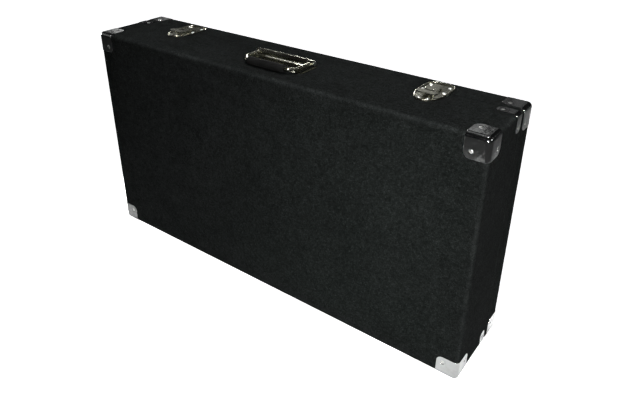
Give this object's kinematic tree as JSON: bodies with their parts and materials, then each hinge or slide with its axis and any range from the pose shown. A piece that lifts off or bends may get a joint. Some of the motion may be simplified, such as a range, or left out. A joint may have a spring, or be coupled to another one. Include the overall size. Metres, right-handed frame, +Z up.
{
  "type": "dj flight case",
  "caption": "Long flat carpet-covered case for players and a mixer, with metal corners, turn latches, a folding handle and a hinged lid.",
  "frame": {"origin": "on the floor, below the middle of the case as it stands on its hinge side: the centre of the bottom of its bounding box", "axes": "+X along the case's length to the right of someone who faces the deep half, +Y from the deep half's outer face to the lid, +Z up to the handle"},
  "size_m": [0.9624, 0.1904, 0.527],
  "materials": {
    "carpet": "heathered charcoal needle felt",
    "ply": "plywood, painted black",
    "foam": "closed-cell foam, dark grey",
    "nickel": "bright nickel plate, lightly scuffed",
    "screw": "bright plated steel",
    "zinc": "zinc-plated steel",
    "strip": "mill-finish strip",
    "grip": "black soft grip"
  },
  "bodies": {
    "base": {"base_bottom_wall": "ply", "base_carpet": "carpet", "base_corner_bottom_left": "nickel", "base_corner_bottom_right": "nickel", "base_corner_screws": "screw", "base_corner_top_left": "nickel", "base_corner_top_right": "nickel", "base_floor_foam": "foam", "base_left_wall": "ply", "base_panel": "ply", "base_right_wall": "ply", "base_top_screws": "screw", "base_top_wall": "ply", "divider_left": "ply", "divider_right": "ply", "handle_barrel": "nickel", "handle_pin": "zinc", "handle_plate": "nickel", "handle_springs": "zinc", "hinge_base_leaf": "zinc", "hinge_base_screws": "zinc", "hinge_pin": "zinc", "latch_plate_left": "nickel", "latch_plate_right": "nickel", "rim_bracket_bottom_left": "nickel", "rim_bracket_bottom_right": "nickel", "rim_bracket_top_left": "nickel", "rim_bracket_top_right": "nickel", "rim_strips": "strip", "stay_base_rivets": "zinc"},
    "lid": {"hinge_lid_leaf": "zinc", "hinge_lid_screws": "zinc", "keeper_screws": "screw", "latch_keeper_left": "nickel", "latch_keeper_right": "nickel", "lid_bottom_wall": "ply", "lid_carpet": "carpet", "lid_corner_bottom_left": "nickel", "lid_corner_bottom_right": "nickel", "lid_corner_screws": "screw", "lid_corner_top_left": "nickel", "lid_corner_top_right": "nickel", "lid_foam": "foam", "lid_left_wall": "ply", "lid_panel": "ply", "lid_right_wall": "ply", "lid_top_wall": "ply", "stay_lid_rivets": "zinc"},
    "handle": {"handle_bail": "nickel", "handle_grip": "grip"},
    "latch_hook_left": {"latch_hook_left": "nickel"},
    "latch_hook_right": {"latch_hook_right": "nickel"},
    "latch_spindle_left": {"latch_spindle_left": "nickel"},
    "latch_spindle_right": {"latch_spindle_right": "nickel"},
    "latch_wing_left": {"latch_wing_left": "nickel"},
    "latch_wing_right": {"latch_wing_right": "nickel"},
    "stay_left_lower": {"stay_left_lower": "zinc"},
    "stay_left_upper": {"stay_left_upper": "zinc"},
    "stay_right_lower": {"stay_right_lower": "zinc"},
    "stay_right_upper": {"stay_right_upper": "zinc"}
  },
  "joints": [
    {"name": "lid_hinge", "type": "hinge", "parent": "base", "child": "lid", "pos_m": [0, 0.039, 0.0034], "axis": [-1, 0, 0], "range_deg": [0, 100]},
    {"name": "handle_swing", "type": "hinge", "parent": "base", "child": "handle", "pos_m": [0, 0.003, 0.519], "axis": [-1, 0, 0], "range_deg": [0, 95], "stiffness_Nm_per_rad": 0.12, "springref_deg": -68.75},
    {"name": "latch_turn_left", "type": "hinge", "parent": "base", "child": "latch_spindle_left", "pos_m": [-0.32, 0.014, 0.5092], "axis": [0, 0, 1], "range_deg": [0, 180]},
    {"name": "latch_pull_left", "type": "slide", "parent": "base", "child": "latch_hook_left", "axis": [0, 0.9659, 0.2588], "range_m": [0, 0.006]},
    {"name": "latch_fold_left", "type": "hinge", "parent": "latch_spindle_left", "child": "latch_wing_left", "pos_m": [-0.32, 0.014, 0.5182], "axis": [-1, 0, 0], "range_deg": [0, 90]},
    {"name": "stay_lower_left", "type": "hinge", "parent": "base", "child": "stay_left_lower", "pos_m": [-0.4616, 0.01534, 0.17175], "axis": [-1, 0, 0], "range_deg": [0, 100]},
    {"name": "stay_upper_left", "type": "hinge", "parent": "lid", "child": "stay_left_upper", "pos_m": [-0.4586, 0.06266, 0.17175], "axis": [-1, 0, 0], "range_deg": [-100, 0]},
    {"name": "latch_turn_right", "type": "hinge", "parent": "base", "child": "latch_spindle_right", "pos_m": [0.32, 0.014, 0.5092], "axis": [0, 0, 1], "range_deg": [0, 180]},
    {"name": "latch_pull_right", "type": "slide", "parent": "base", "child": "latch_hook_right", "axis": [0, 0.9659, 0.2588], "range_m": [0, 0.006]},
    {"name": "latch_fold_right", "type": "hinge", "parent": "latch_spindle_right", "child": "latch_wing_right", "pos_m": [0.32, 0.014, 0.5182], "axis": [-1, 0, 0], "range_deg": [0, 90]},
    {"name": "stay_lower_right", "type": "hinge", "parent": "base", "child": "stay_right_lower", "pos_m": [0.4616, 0.01534, 0.17175], "axis": [-1, 0, 0], "range_deg": [0, 100]},
    {"name": "stay_upper_right", "type": "hinge", "parent": "lid", "child": "stay_right_upper", "pos_m": [0.4586, 0.06266, 0.17175], "axis": [-1, 0, 0], "range_deg": [-100, 0]}
  ],
  "couplings": [
    {"joint": "latch_turn_left", "follows": "latch_pull_left", "rad_per_m": 523.5},
    {"joint": "stay_lower_left", "follows": "lid_hinge", "ratio": 1},
    {"joint": "stay_upper_left", "follows": "lid_hinge", "ratio": -1},
    {"joint": "latch_turn_right", "follows": "latch_pull_right", "rad_per_m": 523.5},
    {"joint": "stay_lower_right", "follows": "lid_hinge", "ratio": 1},
    {"joint": "stay_upper_right", "follows": "lid_hinge", "ratio": -1}
  ]
}
